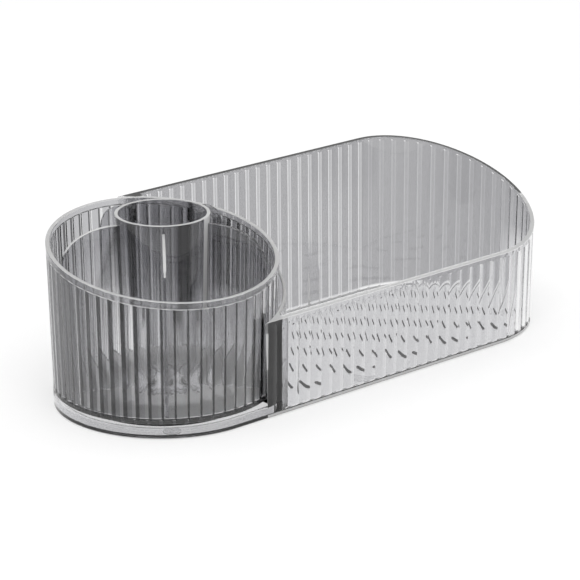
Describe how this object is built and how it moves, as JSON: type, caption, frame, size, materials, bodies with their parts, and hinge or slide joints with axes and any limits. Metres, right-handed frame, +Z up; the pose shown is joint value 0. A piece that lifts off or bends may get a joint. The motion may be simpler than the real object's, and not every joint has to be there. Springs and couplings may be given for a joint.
{
  "type": "rotating makeup organizer",
  "caption": "Smoke-clear makeup organizer: an oblong reeded tray with a slanted rim and drain slots, beside a brush cup with a centre tube and radial fins that turns on a ball bearing",
  "frame": {"origin": "On the table under the middle of the overall box.", "axes": "+X runs along the tray from the cup end to the round tray end, +Y to the high back rim, +Z up."},
  "size_m": [0.3316, 0.1282, 0.109],
  "materials": {
    "smoke_clear": "clear smoke-grey moulded plastic, polished",
    "bearing_clear": "clear moulded plastic",
    "bearing_white": "milky moulded plastic",
    "steel": "bright steel",
    "foot_soft": "soft clear pads"
  },
  "bodies": {
    "base": {"tray_body": "smoke_clear", "lower_race": "bearing_clear", "pivot_screw": "steel", "pivot_washer": "steel", "foot_cup_front": "foot_soft", "foot_cup_back": "foot_soft", "foot_middle_front": "foot_soft", "foot_middle_back": "foot_soft", "foot_end_front": "foot_soft", "foot_end_back": "foot_soft"},
    "cup": {"cup_shell": "smoke_clear", "divider_insert": "smoke_clear", "upper_race": "bearing_clear", "pivot_bush": "bearing_white", "pivot_cap": "smoke_clear"},
    "cage": {"ball_cage": "bearing_white", "bearing_balls": "steel"}
  },
  "joints": [
    {"name": "cup_spin", "type": "hinge", "parent": "base", "child": "cup", "pos_m": [-0.10173, 0, 0], "axis": [0, 0, 1], "continuous": true},
    {"name": "cage_spin", "type": "hinge", "parent": "base", "child": "cage", "pos_m": [-0.10173, 0, 0], "axis": [0, 0, 1], "continuous": true}
  ],
  "couplings": [
    {"joint": "cage_spin", "follows": "cup_spin", "ratio": 0.5}
  ]
}
